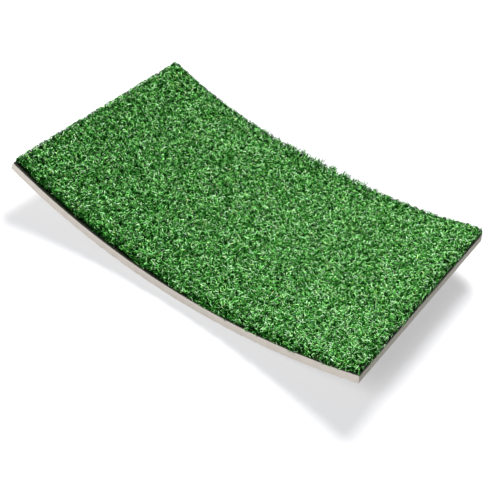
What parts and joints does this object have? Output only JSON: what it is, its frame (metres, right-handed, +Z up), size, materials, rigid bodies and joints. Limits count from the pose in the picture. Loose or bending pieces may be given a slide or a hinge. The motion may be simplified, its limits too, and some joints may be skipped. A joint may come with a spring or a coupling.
{
  "type": "balance board",
  "caption": "Turf-topped balance board: a rigid board bent into one shallow arc, hollow side up, that rocks on its underside while a person stands on the grass.",
  "frame": {"origin": "middle of the line on which the rounded underside touches a level floor, directly below the board's centre", "axes": "+X along the length towards one raised end, +Y across the width, +Z up, out of the turf"},
  "size_m": [0.6096, 0.4, 0.0774],
  "materials": {
    "deck": "matt moulded greige with a faint mottle",
    "adhesive": "dried contact adhesive",
    "coating": "dull near-black latex",
    "woven_backing": "coarse plain weave, near-black",
    "turf": "crimped slit-film yarn, mixed greens, semi-gloss"
  },
  "bodies": {
    "root": {"curved_deck": "deck", "turf_adhesive_film": "adhesive", "turf_backing_coating": "coating", "turf_woven_backing": "woven_backing", "turf_pile": "turf"}
  },
  "joints": []
}
